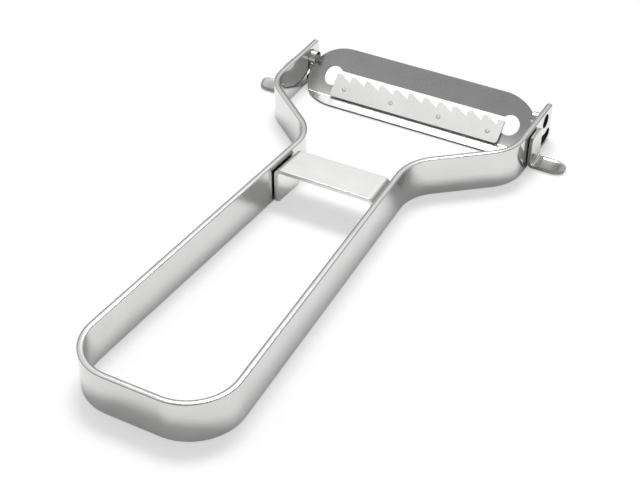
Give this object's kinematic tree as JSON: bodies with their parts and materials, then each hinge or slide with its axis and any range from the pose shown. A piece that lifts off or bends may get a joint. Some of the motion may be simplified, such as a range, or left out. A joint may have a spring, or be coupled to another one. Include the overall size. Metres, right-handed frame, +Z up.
{
  "type": "julienne peeler",
  "caption": "Y-shaped julienne peeler: a bent steel strip forms the handle loop and arms, with a bridge plate, side eye removers and a swivelling toothed blade on a pressed carrier.",
  "frame": {"origin": "below the middle of the whole tool, on the surface that it lies on", "axes": "+Z up from the surface, +Y along the handle towards the blade, +X to the right with the blade away"},
  "size_m": [0.0844, 0.133, 0.0104],
  "materials": {
    "strip_steel": "satin strip with softened edges",
    "bridge_steel": "satin sheet",
    "eye_remover_steel": "satin pressed sheet",
    "carrier_steel": "polished pressed sheet",
    "blade_steel": "fine ground sheet",
    "rivet_steel": "plain set rivet"
  },
  "bodies": {
    "frame": {"handle_frame": "strip_steel", "bridge_plate": "bridge_steel", "eye_remover_left": "eye_remover_steel", "eye_remover_right": "eye_remover_steel"},
    "blade": {"blade_carrier": "carrier_steel", "julienne_blade": "blade_steel", "blade_rivet_1": "rivet_steel", "blade_rivet_2": "rivet_steel", "blade_rivet_3": "rivet_steel", "blade_rivet_4": "rivet_steel"}
  },
  "joints": [
    {"name": "blade_swivel", "type": "hinge", "parent": "frame", "child": "blade", "pos_m": [0, 0.06229, 0.0073], "axis": [1, 0, 0], "range_deg": [-22, 14]}
  ]
}
